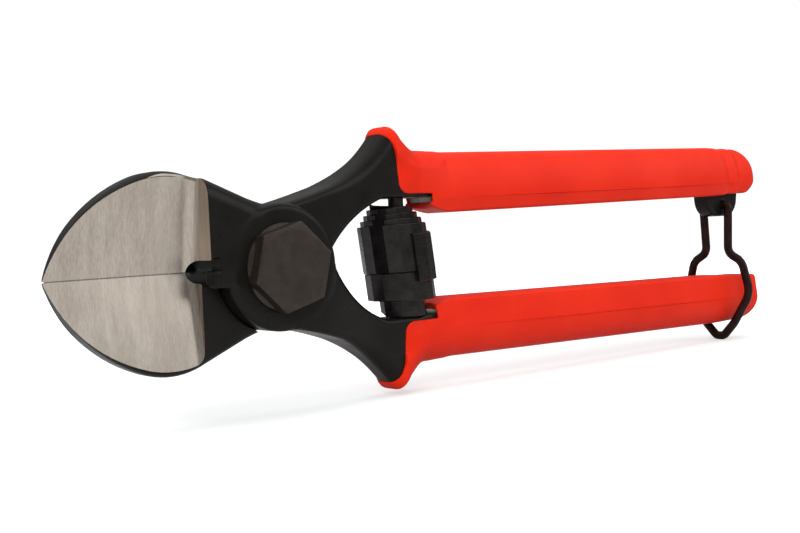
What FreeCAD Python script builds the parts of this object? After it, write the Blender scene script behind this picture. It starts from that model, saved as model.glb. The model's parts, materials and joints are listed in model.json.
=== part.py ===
import FreeCAD, Part
import math
import os

# One-hand bolt cutters.  Two forged halves are lapped at a bolt.  Each half is
# a cutting jaw, half of the pivot boss, a neck with a hand guard and a handle
# shank.  The front half carries the upper jaw and the lower handle.  The rear
# half is the same forging turned half a turn about the tool's long axis, with
# a lug for the latch.
#
# Design frame: pivot at the origin, +X towards the handle ends, +Y away from
# the bolt head, +Z up.  Every sub-part is placed from there into the part's
# own frame, whose origin is the bottom centre of the closed tool.

SIZES = {
    # forged halves
    "tip_reach": 43.2,        # pivot to jaw tip
    "jaw_rise": 18.3,         # cutting line to the top of the jaw
    "jaw_half": 3.5,          # half the thickness of a jaw
    "rim_round": 1.3,         # forged rounding of the jaw's rim
    "edge_gap": 0.05,         # half the gap between the closed cutting edges
    "edge_land": 0.15,        # half the thickness left at the cutting edge
    "jaw_lap": 0.02,          # how far the relief's nose crosses the cutting line
    "grind_angle": 10.0,      # slope of the ground faces, degrees
    "shoulder_reach": 15.3,   # pivot to the wall where the grinding stops
    "shoulder_round": 2.2,    # grinding wheel's corner
    "relief_half": 2.4,       # half the height of the relief behind the blades
    "relief_reach": 16.8,     # pivot to the nose of the relief
    "relief_end": 13.4,       # pivot to the relief's other end, beside the boss
    "boss_radius": 12.0,
    "boss_clearance": 0.35,   # between a boss and the other half's pocket
    "layer": 7.5,             # thickness of one half's boss
    "lap_gap": 0.05,          # half the gap between the lapped faces
    "neck_half": 4.2,         # half the thickness of the neck and the guard
    "shank_half": 3.8,
    "shank_inner": 10.2,      # centre plane to the shank's inner face at the neck
    "shank_height": 10.6,
    "spread_angle": 0.93,     # how far each handle turns outwards, degrees
    "spread_start": 45.0,     # pivot to where the handles' sizes are measured
    "handle_reach": 155.0,    # pivot to the end of the grip
    # grips
    "coat": 1.2,              # thickness of the dipped coat
    "guard_coat": 0.96,       # the coat is thinner over the guard
    "grip_half": 4.8,
    "grip_height": 13.0,
    "heel_round": 1.4,        # inner corner of a handle's end
    "nose_round": 7.0,        # outer corner
    "upper_heel_round": 4.5,  # the upper grip's end is rounder
    "upper_nose_round": 6.9,
    "seat_height": 12.3,      # centre plane to the spring's seat
    "seat_radius": 7.6,       # round recess that the spring stands in
    # pivot bolt
    "bolt_radius": 5.0,
    "bolt_play": 0.05,
    "flange_radius": 8.3,
    "flange_height": 0.8,
    "hex_flats": 15.0,
    "hex_face": 7.05,         # radius of the flat face inside a hexagon's chamfer
    "head_height": 2.7,
    "washer_height": 1.6,
    "nut_height": 4.0,
    "bolt_end": 1.0,          # thread standing out of the nut
    # volute spring
    "spring_reach": 32.8,     # pivot to the spring's axis
    "spring_radius": 7.2,
    "strip": 0.8,             # thickness of the spring's strip
    "strip_width": 9.6,
    "seat_play": 0.05,        # between the spring and each seat
    "peg_radius": 1.6,
    "peg_play": 1.5,          # between a peg and the spring's inner coil
    "peg_depth": 5.0,         # how far a spring peg goes into its seat
    "peg_stand": 5.0,         # and how far it stands out into the spring
    # latch
    "latch_reach": 143.3,     # pivot to the latch's hinge
    "latch_height": 8.2,      # centre plane to the latch's hinge
    "wire_radius": 1.1,
    "wire_play": 0.08,
    "lug_half": 2.4,
    "lug_cover": 3.1,         # from the hinge to the lug's inner end
    "leg_play": 0.45,         # between the lug and each leg of the latch
    "latch_drop": 27.2,       # centre plane to the wire's lowest bend
}
SPRING_STEPS = 3               # coils on each side of the spring's widest one
SHANK_START = 36.0             # where the shank leaves the neck
SEAM_PART = 0.32               # a handle is widest at this part of its height
FLAT_PART = 0.7                # part of a handle's width that is flat inside
BAR_ROOM = 6.0                 # past a handle bar on both sides
NOSE_BEND = (0.375, 0.71)      # middle of the relief's round nose, in its half heights
NOSE_LENGTH = 1.08             # and the nose's length
DRILL = 40.0                   # length of a drill, more than any part's thickness
WHEEL = (-60.0, 20.0, -8.0, 32.0)   # the grinding wheel's reach, depth, foot and top
HEAD_TURN = 136.3              # direction of a corner of the bolt's head, degrees
NUT_TURN = 20.0                # and of the nut

# The forging's outline, as (along, up) from the pivot.  Jaw and root:
CHEEK = (-36.8, 10.5)          # middle of the curve from the tip to the crown
CROWN_START = (-26.6, 17.3)
CROWN_AT = -20.8               # the jaw is highest here
CROWN_END = (-14.7, 16.8)
NAPE = (-6.0, 13.1)            # where the jaw's back starts to curve into the boss
NAPE_BEND = (-4.0, 12.4)
NAPE_ANGLE = 100.0             # where it meets the boss, degrees
# neck, guard and the shank's root, drawn for the lower handle:
CROTCH = (16.0, -5.6)          # middle of the curve from the boss to the seat
SEAT_START = 26.5
SEAT_END = 39.5
SHANK_STEP = (41.0, 0.2)       # where the seat's step meets the shank, and how deep
NECK_END = 42.0
GUARD_ROOT = (38.5, 0.1)       # where the guard leaves the shank, and how deep
GUARD_HOLLOW = (33.6, -21.6)
GUARD_BACK = (31.2, -24.2)
GUARD_TIP = (30.2, -26.0)
GUARD_FRONT = (28.2, -26.0)
GUARD_SLOPE = (22.6, -20.3)
NECK_LOW = (14.3, -15.2)
WAIST = (8.0, -13.2)
WAIST_ANGLE = -80.0
# the neck's front face, as (along, across), goes down from the boss to the guard:
TAPER_START = 9.0
TAPER_END = 24.0
# coat over the back of the guard, from the seat round the guard's tip:
COAT_HEEL = (39.4, -9.2)
COAT_INNER = (42.5, -9.0)
COAT_OUTER = (42.5, -20.0)
COAT_ROOT = (39.6, -21.9)
COAT_HOLLOW = (34.6, -22.9)
COAT_BACK = (32.4, -25.2)
COAT_TIP = (30.9, -28.0)
COAT_FRONT = (27.4, -27.0)
COAT_BELLY = (29.9, -21.0)
COAT_EDGE = (30.5, -15.4)
COAT_BEND = (32.0, -13.4)
COAT_END = (36.5, -11.0)
# the latch's lug, as (from the hinge, up):
LUG_ROOT = 6.9
LUG_WAIST = (6.2, -9.6)
LUG_CORNER = (4.8, 0.9)
LUG_FLAT = 2.6
# one side of the latch, as (across, up), and the bend at each corner:
LATCH_NECK = (3.4, -4.8)
LATCH_SHOULDER = (7.6, -7.2)
LATCH_BELLY = (9.8, -15.6)
LATCH_HEEL = (4.5, -23.7)
LATCH_FOOT = 1.2               # half the width of the lowest bend
LATCH_PIN = 0.5                # from the centre plane to the end of each pin
LATCH_BENDS = [1.25, 3.0, 4.0, 6.2, 3.0, 1.8]

doc = FreeCAD.newDocument("bolt_cutters")
sheet = doc.addObject("Spreadsheet::Sheet", "sizes")
for row, (alias, number) in enumerate(SIZES.items(), start=1):
    sheet.set(f"A{row}", alias)
    sheet.set(f"B{row}", str(number))
    sheet.setAlias(f"B{row}", alias)
doc.recompute()

V = FreeCAD.Vector
ALONG_Y = FreeCAD.Rotation(V(1, 0, 0), -90)     # turns a +Z primitive to +Y


def size(alias):
    """A driving dimension, read back from the sheet."""
    return float(getattr(sheet, alias))


def bind(thing, **formulas):
    """Ties properties to cells of the sheet.  A formula is words with spaces
    between them; a cell is written as its alias."""
    for prop, formula in formulas.items():
        words = [f"sizes.{word}" if word in SIZES else word for word in formula.split()]
        thing.setExpression(prop, " ".join(words))
    return thing


def primitive(kind, name, at=(0, 0, 0), turn=None, **formulas):
    thing = bind(doc.addObject(kind, name), **formulas)
    thing.Placement = FreeCAD.Placement(V(*at), turn or FreeCAD.Rotation())
    return thing


def fuse(name, *things):
    joined = doc.addObject("Part::MultiFuse", name)
    joined.Shapes = list(things)
    return joined


def cut(name, base, tool):
    rest = doc.addObject("Part::Cut", name)
    rest.Base = base
    rest.Tool = tool
    return rest


def common(name, *things):
    shared = doc.addObject("Part::MultiCommon", name)
    shared.Shapes = list(things)
    return shared


def point(x, z):
    return V(x, 0, z)


def edges(start, *steps):
    """Edges in the XZ plane.  A step of one point is a line; two are an arc
    through the first to the second."""
    made, here = [], point(*start)
    for step in steps:
        if isinstance(step[0], tuple):
            middle, end = point(*step[0]), point(*step[1])
            made.append(Part.Arc(here, middle, end).toShape())
        else:
            end = point(*step)
            made.append(Part.LineSegment(here, end).toShape())
        here = end
    return made


def drill(name, x, z, radius):
    """A long cylinder along Y, through everything at one place."""
    hole = primitive("Part::Cylinder", name, (x, -DRILL / 2, z), ALONG_Y, Radius=radius)
    hole.Height = DRILL
    return hole


def outline(name, start, *steps):
    face = doc.addObject("Part::Feature", name)
    face.Shape = Part.Face(Part.Wire(edges(start, *steps, start)))
    return face


def slab(name, face, towards_back, towards_front):
    """A face of the XZ plane made thick, to the back and to the front."""
    body = doc.addObject("Part::Extrusion", name)
    body.Base = face
    body.DirMode = "Custom"
    body.Dir = V(0, 1, 0)
    body.Solid = True
    return bind(body, LengthFwd=towards_back, LengthRev=towards_front)


def on_boss(degrees):
    turn = math.radians(degrees)
    return (size("boss_radius") * math.cos(turn), size("boss_radius") * math.sin(turn))


def handle_z(x, height):
    """Height of a line along the outward-turning handle, given where it starts."""
    slope = math.tan(math.radians(size("spread_angle")))
    return height + (x - size("spread_start")) * slope


# ---------------------------------------------------------------- forged half
def jaw_outline(name, from_x):
    """The jaw and its root, above the cutting line; a slice of it behind from_x."""
    rise, gap = size("jaw_rise"), size("edge_gap")
    back = [NAPE, (NAPE_BEND, on_boss(NAPE_ANGLE)), (0, gap)]
    if from_x is None:
        return outline(name, (-size("tip_reach"), gap), (CHEEK, CROWN_START),
                       ((CROWN_AT, rise), CROWN_END), *back)
    return outline(name, (from_x, gap), (from_x, CROWN_END[1]), CROWN_END, *back)


def neck_outline(name):
    """Neck, guard and handle shank, drawn below the pivot."""
    inner, seat = size("shank_inner"), size("seat_height")
    outer = inner + size("shank_height")
    step_at, step = SHANK_STEP
    root_at, root = GUARD_ROOT
    return outline(name, (0, 0), (size("boss_radius"), 0), (CROTCH, (SEAT_START, -seat)),
                   (SEAT_END, -seat), (step_at, -inner - step), (NECK_END, -inner - step),
                   (NECK_END, root - outer), (root_at, root - outer),
                   (GUARD_HOLLOW, GUARD_BACK), (GUARD_TIP, GUARD_FRONT),
                   (GUARD_SLOPE, NECK_LOW), (WAIST, on_boss(WAIST_ANGLE)))


def handle_bar(name, half, inner, height, end, heel, nose):
    """A bar along the handle: flat inside, widest at a seam, oval outside.  Its
    end is rounded by the heel's radius inside and the nose's outside."""
    seam = SEAM_PART * height
    flat = FLAT_PART * half
    top = handle_z(SHANK_START, inner)
    middle = V(0, 0, -top - seam)
    oval = Part.Ellipse(V(0, 0, -top - height), middle + V(0, half, 0), middle)
    corners = [V(0, half, -top - seam), V(0, flat, -top), V(0, -flat, -top),
               V(0, -half, -top - seam)]
    wire = [Part.Arc(oval, -math.pi / 2, math.pi / 2).toShape()]
    wire += [Part.LineSegment(a, b).toShape() for a, b in zip(corners, corners[1:])]
    length = end - SHANK_START
    drop = length * math.tan(math.radians(size("spread_angle")))
    bar = Part.Face(Part.Wire(wire)).extrude(V(length, 0, -drop))
    bar.translate(V(SHANK_START, 0, 0))
    straight = doc.addObject("Part::Feature", name + "_straight")
    straight.Shape = bar
    inside, outside = -handle_z(end, inner), -handle_z(end, inner + height)
    bend = 1 - math.sqrt(0.5)
    side = outline(name + "_side", (SHANK_START, inside + BAR_ROOM),
                   (end - heel, inside + BAR_ROOM), (end - heel, inside),
                   ((end - heel * bend, inside - heel * bend), (end, inside - heel)),
                   (end, outside + nose),
                   ((end - nose * bend, outside + nose * bend), (end - nose, outside)),
                   (end - nose, outside - BAR_ROOM), (SHANK_START, outside - BAR_ROOM))
    return common(name, straight, slab(name + "_end", side, "layer", "layer"))


def rounded_rim(name, blank):
    """Rounds the long edges of the jaw's rim on both faces."""
    soft = doc.addObject("Part::Fillet", name)
    soft.Base = blank
    doc.recompute()
    radius, picked = size("rim_round"), []
    for number, edge in enumerate(blank.Shape.Edges, start=1):
        box = edge.BoundBox
        on_face = box.YLength < 0.01
        on_rim = isinstance(edge.Curve, Part.Circle) and box.XMin < CROWN_END[0]
        if on_face and on_rim:
            picked.append((number, radius, radius))
    soft.Edges = picked
    return soft


def grinding(name, side):
    """What the wheel takes off one face of the upper jaw: flat along the slope,
    then round its corner up to the shoulder."""
    reach, corner = size("shoulder_reach"), size("shoulder_round")
    slope, land = math.radians(size("grind_angle")), size("edge_land")
    far, deep, foot, top = WHEEL
    wall = -reach
    profile = [
        Part.LineSegment(V(far, 0, 0), V(wall - corner, 0, 0)).toShape(),
        Part.Arc(V(wall - corner, 0, 0),
                 V(wall - corner * (1 - math.sin(math.pi / 4)),
                   -corner * (1 - math.cos(math.pi / 4)), 0),
                 V(wall, -corner, 0)).toShape(),
        Part.LineSegment(V(wall, -corner, 0), V(wall, -deep, 0)).toShape(),
        Part.LineSegment(V(wall, -deep, 0), V(far, -deep, 0)).toShape(),
        Part.LineSegment(V(far, -deep, 0), V(far, 0, 0)).toShape(),
    ]
    wheel = Part.Face(Part.Wire(profile)).extrude(V(0, 0, top - foot))
    wheel.translate(V(0, 0, foot))
    wheel.rotate(V(0, 0, 0), V(1, 0, 0), math.degrees(slope))
    wheel.translate(V(0, -land, 0))
    if side > 0:
        wheel = wheel.mirror(V(0, 0, 0), V(0, 1, 0))
    tool = doc.addObject("Part::Feature", name)
    tool.Shape = wheel
    return tool


def relief(name):
    """The slot behind the cutting edges that lets them close fully."""
    half, nose, end = size("relief_half"), -size("relief_reach"), -size("relief_end")
    low = -size("jaw_lap")
    bend_at, bend = nose + half * NOSE_BEND[0], half * NOSE_BEND[1]
    straight = nose + half * NOSE_LENGTH
    shape = outline(name + "_outline", (nose, 0), ((bend_at, bend), (straight, half)),
                    (end, half), (end, -half), (straight, -half),
                    ((bend_at, -bend), (nose, low)))
    return slab(name, shape, "layer * 2", "layer * 2")


def neck_taper(name):
    """Takes the neck's front face down from the boss to the guard."""
    layer, half, end = size("layer"), size("neck_half"), size("handle_reach")
    corners = [V(TAPER_START, -layer, 0), V(TAPER_END, -half, 0), V(end, -half, 0),
               V(end, -DRILL, 0), V(TAPER_START, -DRILL, 0)]
    face = Part.Face(Part.makePolygon(corners + corners[:1]))
    tool = doc.addObject("Part::Feature", name)
    tool.Shape = face.extrude(V(0, 0, -DRILL))
    return tool


def latch_lug(name):
    """The ear that holds the latch, on the shank's inner face."""
    reach, height = size("latch_reach"), size("latch_height")
    root = -handle_z(reach, size("shank_inner")) - size("coat")
    tip = size("lug_cover") - height
    waist, waist_z = LUG_WAIST
    corner, drop = LUG_CORNER
    ear = slab(name + "_plate",
               outline(name + "_outline", (reach - LUG_ROOT, root), (reach - waist, waist_z),
                       ((reach - corner, tip - drop), (reach - LUG_FLAT, tip)),
                       (reach + LUG_FLAT, tip),
                       ((reach + corner, tip - drop), (reach + waist, waist_z)),
                       (reach + LUG_ROOT, root)),
               "lug_half", "lug_half")
    return ear, drill(name + "_eye", reach, -height, "wire_radius + wire_play")


def spring_seat(name):
    """Round recess for the spring's end, in the forging and its coat."""
    return primitive("Part::Cylinder", name + "_seat",
                     (size("spring_reach"), 0, -size("seat_height")),
                     Radius="seat_radius", Height="seat_height")


def forged_half(name, with_lug):
    """Upper jaw, front boss layer and lower handle as one forging, and the same
    body before its holes are made."""
    jaw = slab(name + "_jaw", jaw_outline(name + "_jaw_outline", None),
               "jaw_half", "jaw_half")
    jaw = rounded_rim(name + "_jaw_rim", jaw)
    shoulder = -size("shoulder_reach") - size("shoulder_round")
    root = slab(name + "_root", jaw_outline(name + "_root_outline", shoulder),
                "0", "layer")
    neck = slab(name + "_neck", neck_outline(name + "_neck_outline"),
                "neck_half", "layer")
    shank = handle_bar(name + "_shank", size("shank_half"), size("shank_inner"),
                       size("shank_height"), size("handle_reach") - size("coat"),
                       size("heel_round"), size("nose_round"))
    blank = fuse(name + "_blank", jaw, root, neck, shank)
    pocket = primitive("Part::Cylinder", name + "_pocket", turn=ALONG_Y,
                       Radius="boss_radius + boss_clearance", Height="layer * 2")
    pocket.Placement.Base = V(0, -size("lap_gap"), 0)
    tools = fuse(name + "_tools", grinding(name + "_front_grind", -1),
                 grinding(name + "_back_grind", 1), relief(name + "_relief"),
                 neck_taper(name + "_taper"), spring_seat(name), pocket)
    shaped = cut(name + "_shaped", blank, tools)
    boss = primitive("Part::Cylinder", name + "_boss", turn=ALONG_Y,
                     Radius="boss_radius", Height="layer - lap_gap")
    boss.Placement.Base = V(0, -size("layer"), 0)
    pieces = [shaped, boss]
    peg_foot = -size("seat_height") - size("peg_depth")
    holes = [drill(name + "_bolt_hole", 0, 0, "bolt_radius + bolt_play"),
             primitive("Part::Cylinder", name + "_peg_hole",
                       (size("spring_reach"), 0, peg_foot), Radius="peg_radius")]
    if with_lug:
        ear, eye = latch_lug(name + "_lug")
        pieces.append(ear)
        holes.append(eye)
    body = fuse(name + "_body", *pieces)
    return cut(name + "_half", body, fuse(name + "_holes", *holes)), body


# ---------------------------------------------------------------------- grips
def grip(name, forging, heel, nose):
    """The dipped coat: a rounded bar over the shank and a web over the back of
    the guard, with the forging's own shape taken out of it."""
    coat = size("coat")
    bar = handle_bar(name + "_bar", size("grip_half"), size("shank_inner") - coat,
                     size("grip_height"), size("handle_reach"), heel, nose)
    guard = outline(name + "_guard_outline", COAT_HEEL, COAT_INNER, COAT_OUTER, COAT_ROOT,
                    (COAT_HOLLOW, COAT_BACK), (COAT_TIP, COAT_FRONT),
                    (COAT_BELLY, COAT_EDGE), (COAT_BEND, COAT_END))
    web = slab(name + "_guard", guard, "neck_half + guard_coat", "neck_half + guard_coat")
    bare = fuse(name + "_bare", forging, spring_seat(name + "_coat"))
    return cut(name + "_coat", fuse(name + "_outer", bar, web), bare)


# ---------------------------------------------------------------- pivot group
def hexagon(name, at_y, corner_angle, height):
    prism = primitive("Part::Prism", name, Circumradius="hex_flats / sqrt(3)",
                      Height=height)
    prism.Polygon = 6
    turn = FreeCAD.Rotation(V(0, 1, 0), -corner_angle)
    prism.Placement = FreeCAD.Placement(V(0, at_y, 0), turn.multiply(ALONG_Y))
    return prism


def pivot_bolt():
    """Flanged hexagon bolt through both bosses."""
    seat, head = -size("layer") - size("flange_height"), size("head_height")
    prism = hexagon("bolt_hexagon", seat - head, HEAD_TURN, "head_height")
    chamfer = primitive("Part::Cone", "bolt_chamfer", (0, seat - head, 0), ALONG_Y,
                        Radius1="hex_face",
                        Radius2="hex_face + head_height * sqrt(3)",
                        Height="head_height")
    flange_disc = primitive("Part::Cylinder", "bolt_flange", (0, seat, 0), ALONG_Y,
                            Radius="flange_radius", Height="flange_height")
    stem = primitive("Part::Cylinder", "bolt_stem", (0, seat, 0), ALONG_Y,
                     Radius="bolt_radius",
                     Height="flange_height + 2 * layer + washer_height"
                            " + nut_height + bolt_end")
    head_body = common("bolt_head", prism, chamfer)
    return fuse("bolt_body", head_body, flange_disc, stem)


def ring(name, at_y, outer, height):
    """A washer round the bolt."""
    disc = primitive("Part::Cylinder", name + "_disc", (0, at_y, 0), ALONG_Y,
                     Radius=outer, Height=height)
    hole = drill(name + "_hole", 0, 0, "bolt_radius + bolt_play")
    return cut(name + "_ring", disc, hole)


def pivot_nut():
    at_y = size("layer") + size("washer_height")
    prism = hexagon("nut_hexagon", at_y, NUT_TURN, "nut_height")
    chamfer = primitive("Part::Cone", "nut_chamfer", (0, at_y, 0), ALONG_Y,
                        Radius1="hex_face + nut_height * sqrt(3)",
                        Radius2="hex_face", Height="nut_height")
    thread = drill("nut_thread", 0, 0, "bolt_radius")
    return cut("nut_body", common("nut_blank", prism, chamfer), thread)


# --------------------------------------------------------------------- spring
def volute_spring():
    """Double volute spring: a strip wound into a barrel that steps in to both
    ends, drawn as one closed ring of stepped section."""
    top = size("seat_height") - size("seat_play")
    radius, strip = size("spring_radius"), size("strip")
    first = size("strip_width") / 2
    rise = (top - first) / SPRING_STEPS
    bore = size("peg_radius") + size("peg_play")
    stairs = [(radius, first)]
    for step in range(1, SPRING_STEPS + 1):
        coil, level = radius - step * strip, first + step * rise
        stairs += [(coil, level - rise), (coil, level)]
    lower = [(r, -z) for r, z in reversed(stairs)]
    corners = [V(r, 0, z) for r, z in [(bore, top), (bore, -top)] + lower + stairs]
    profile = doc.addObject("Part::Feature", "spring_profile")
    profile.Shape = Part.Face(Part.makePolygon(corners + corners[:1]))
    barrel = doc.addObject("Part::Revolution", "spring_barrel")
    barrel.Source = profile
    barrel.Axis = V(0, 0, 1)
    barrel.Angle = 360
    barrel.Solid = True
    return barrel


def spring_peg(name):
    foot = -size("seat_height") - size("peg_depth")
    return primitive("Part::Cylinder", name + "_stem", (size("spring_reach"), 0, foot),
                     Radius="peg_radius", Height="peg_depth + peg_stand")


# ---------------------------------------------------------------------- latch
def rounded_path(corners, radii):
    """A wire of straight runs joined by tangent arcs at the inner corners."""
    made, here = [], corners[0]
    for before, corner, after, radius in zip(corners, corners[1:], corners[2:], radii):
        into = (corner - before).normalize()
        away = (after - corner).normalize()
        turn = into.getAngle(away)
        back = radius * math.tan(turn / 2)
        start, end = corner - into * back, corner + away * back
        inward = (away - into).normalize()
        sagitta = radius / math.cos(turn / 2) - radius
        made += [Part.LineSegment(here, start).toShape(),
                 Part.Arc(start, corner + inward * sagitta, end).toShape()]
        here = end
    made.append(Part.LineSegment(here, corners[-1]).toShape())
    return Part.Wire(made)


def latch_wire():
    """Spring-wire loop: two pins in the lug's eye, a narrow neck, a wide belly
    round the other grip and a tight bend below it."""
    reach, height, drop = size("latch_reach"), size("latch_height"), size("latch_drop")
    leg = size("lug_half") + size("wire_radius") + size("leg_play")
    side = [(LATCH_PIN, height), (leg, height), LATCH_NECK, LATCH_SHOULDER, LATCH_BELLY,
            LATCH_HEEL, (LATCH_FOOT, -drop)]
    corners = [V(reach, y, z) for y, z in side]
    corners += [V(reach, -y, z) for y, z in reversed(side)]
    path = rounded_path(corners, LATCH_BENDS + LATCH_BENDS[::-1])
    circle = Part.Circle(corners[0], V(0, 1, 0), size("wire_radius")).toShape()
    wire = doc.addObject("Part::Feature", "latch_loop")
    wire.Shape = path.makePipeShell([Part.Wire(circle)], True, False)
    volume = math.pi * size("wire_radius") ** 2 * path.Length
    print(f"latch wire: {path.Length:.1f} mm long, volume {wire.Shape.Volume:.0f}"
          f" of {volume:.0f} mm3")
    return wire


# ------------------------------------------------------------------- assembly
def place(label, source, turned=False):
    """The named sub-part, moved from the design frame to the part's frame."""
    part = doc.addObject("Part::Refine", label)
    part.Label = label
    part.Source = source
    lift = size("latch_drop") + size("wire_radius")
    front = size("layer") + size("flange_height") + size("head_height")
    back = size("layer") + size("washer_height") + size("nut_height") + size("bolt_end")
    middle = (size("handle_reach") - size("tip_reach")) / 2
    part.Placement = FreeCAD.Placement(V(-middle, (front - back) / 2, lift),
                                       FreeCAD.Rotation(V(1, 0, 0), 180 if turned else 0))
    return part


front_half, front_body = forged_half("front", False)
rear_half, rear_body = forged_half("rear", True)
spring = volute_spring()
spring.Placement.Base = V(size("spring_reach"), 0, 0)
parts = [
    place("front_forging", front_half),
    place("rear_forging", rear_half, turned=True),
    place("lower_grip", grip("front", front_body, size("heel_round"),
                             size("nose_round"))),
    place("upper_grip", grip("rear", rear_body, size("upper_heel_round"),
                             size("upper_nose_round")), turned=True),
    place("pivot_bolt", pivot_bolt()),
    place("lock_washer", ring("lock_washer", size("layer"), "flange_radius",
                              "washer_height")),
    place("pivot_nut", pivot_nut()),
    place("volute_spring", spring),
    place("lower_spring_peg", spring_peg("lower_peg")),
    place("upper_spring_peg", spring_peg("upper_peg"), turned=True),
    place("latch_wire", latch_wire()),
]
doc.recompute()

failed = [thing.Name for thing in doc.Objects
          if "Invalid" in thing.State or "Error" in thing.State]
broken = [part.Label for part in parts if part.Shape.isNull() or not part.Shape.isValid()]
if failed or broken:
    raise RuntimeError(f"failed: {failed}, broken: {broken}")

os.makedirs("parts", exist_ok=True)
for part in parts:
    part.Shape.exportStep(f"parts/{part.Label}.step")
    print(part.Label, len(part.Shape.Solids), "solid,", round(part.Shape.Volume), "mm3")
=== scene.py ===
import json
import math

import bmesh
import bpy
import numpy as np
from mathutils import Matrix, Vector


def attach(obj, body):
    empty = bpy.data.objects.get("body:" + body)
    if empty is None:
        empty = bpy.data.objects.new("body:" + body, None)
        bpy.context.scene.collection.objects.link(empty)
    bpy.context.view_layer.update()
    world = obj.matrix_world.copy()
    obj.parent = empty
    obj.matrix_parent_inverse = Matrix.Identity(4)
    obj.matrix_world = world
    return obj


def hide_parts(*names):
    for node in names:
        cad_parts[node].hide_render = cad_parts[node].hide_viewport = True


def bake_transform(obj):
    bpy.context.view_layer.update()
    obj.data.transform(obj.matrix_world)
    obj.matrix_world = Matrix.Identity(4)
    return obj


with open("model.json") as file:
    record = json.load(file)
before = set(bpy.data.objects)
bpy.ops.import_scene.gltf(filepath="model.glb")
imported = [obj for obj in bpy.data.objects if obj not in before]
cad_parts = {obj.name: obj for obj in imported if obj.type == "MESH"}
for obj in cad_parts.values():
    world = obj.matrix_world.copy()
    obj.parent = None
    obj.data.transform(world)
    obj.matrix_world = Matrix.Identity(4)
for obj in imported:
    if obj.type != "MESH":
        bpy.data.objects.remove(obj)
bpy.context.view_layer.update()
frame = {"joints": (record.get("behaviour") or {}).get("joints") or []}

# One-hand bolt cutters.  Shapes are written in millimetres from the pivot, in
# the front half's own directions: +X to the handle ends, -Y to the bolt head,
# +Z up.  The rear half is the same shape turned half a turn about X.  Solid
# shapes are distance fields (negative inside), meshed on a grid by surface().

MM = 0.001
JOINTS = {joint["name"]: joint for joint in frame["joints"]}
PIVOT = Vector(JOINTS["jaw_pivot"]["pos_m"])
LATCH = (Vector(JOINTS["latch_swing"]["pos_m"]) - PIVOT) / MM

# forged halves
TIP_REACH = 43.2
CROWN = 18.3
CROWN_START = (-26.6, CROWN - 1.0)
CROWN_TOP = (-20.8, CROWN)
CROWN_END = (-14.7, 16.8)
JAW_HALF = 3.5
RIM_ROUND = 2.2
EDGE_GAP = 0.01
EDGE_LAND = 0.15
GRIND_SLOPE = math.radians(10)
SHOULDER = -15.3
FRONT_CORNER = 2.2
BACK_CORNER = 1.4
RELIEF_HALF = 2.4
RELIEF_NOSE = -16.8
RELIEF_END = -13.4
LIP_HEIGHT = 3.2
LIP_MIDDLE = -12.4
LIP_HALF = 2.4
BOSS = 12.0
BOSS_ROOM = 0.35
LAYER = 7.5
LAP_GAP = 0.05
ROOT_ROUND = 3.4
NECK_HALF = 4.2
NECK_ROUND = 2.9
INNER_ROUND = 0.8
BOSS_ROUND = 1.3
SHANK_HALF = 3.8
SHANK_INNER = 10.2
SHANK_HEIGHT = 10.6
SPREAD = math.tan(math.radians(0.93))
SPREAD_FROM = 45.0
SHANK_FROM = 36.0
NECK_TO = 44.0
END = 155.0
SEAT = 12.3
SEAT_RADIUS = 7.6
NICK_FROM = -2.7
NICK_DEPTH = 0.95
NICK_FADE = 0.5
# grips
COAT = 1.2
GUARD_COAT = 0.9
EDGE_COAT = 0.2
COAT_ROOT = 0.6
LINING = 0.3
LINED_TO = 11.3
GRIP_HALF = 4.8
GRIP_HEIGHT = 13.0
WEB_THINNING = 2.4
LOWER_GRIP_END = (1.4, 7.0)
UPPER_GRIP_END = (4.5, 6.9)
RING_GROOVES = ((143.9, 0.42, 1.2), (148.6, 0.36, 0.9))
FRONT_SEAM = 6.3
BACK_SEAM = 3.1
SEAM_RIDGE = 0.16
SEAM_FROM, SEAM_TO = 47.0, 150.0
# pivot
BOLT = 5.0
BOLT_PLAY = 0.05
FLANGE = 8.3
FLANGE_HEIGHT = 0.8
HEX_HALF = 7.5
HEX_TURN = math.radians(106.3)
NUT_TURN = math.radians(50)
HEAD = 2.7
FACE_RING = 6.7
FACE_SLOPE = math.radians(7)
WASHER = 1.6
NUT = 4.0
BOLT_END = 1.0
# spring
SPRING_AT = 32.8
SPRING_TOP = 12.05
SPRING_FOOT = 12.2
COIL_DROP = 1.15
FOOT_STEP = 3.5
FIRST_TURN = 0.7
UPPER_END = 5.4
LOWER_END = 4.9
UPPER_END_TURN = -98.5
UPPER_STRIP = 9.8
STRIP = 0.79
SPRING_LEAN = math.radians(7)
SPRING_SHIFT = 0.35
INNER_COIL = 3.7
PEG = 1.6
PEG_DEPTH = 5.0
PEG_STAND = 5.0
# latch
WIRE = 1.1
WIRE_PLAY = 0.08
LUG_HALF = 2.4
LUG_TOP = 3.1
LATCH_DROP = 27.2
LATCH_BENDS = [1.25, 3.0, 4.0, 6.2, 3.0, 1.8]
# stage
CAMERA_AT = (-0.167625, -0.182735, 0.034940)
YAW, PITCH, ROLL = math.radians(38.65), math.radians(-2.10), math.radians(-2.735)
LIT_POINT = (0, 0, 0.03)
FLOOR_RADIUS = 0.62


# ------------------------------------------------------------ distance fields
def ease(value, start, end):
    """0 before start, 1 after end, and a smooth step between them."""
    t = np.clip((value - start) / (end - start), 0, 1)
    return t * t * (3 - 2 * t)


def round_max(a, b, radius):
    """Overlap of two fields, its outer corner rounded."""
    corner = np.hypot(np.maximum(a + radius, 0), np.maximum(b + radius, 0))
    return np.minimum(np.maximum(a, b), -radius) + corner


def round_min(a, b, radius):
    """Union of two fields, its inner corner filled with a fillet."""
    return -round_max(-a, -b, radius)


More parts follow.
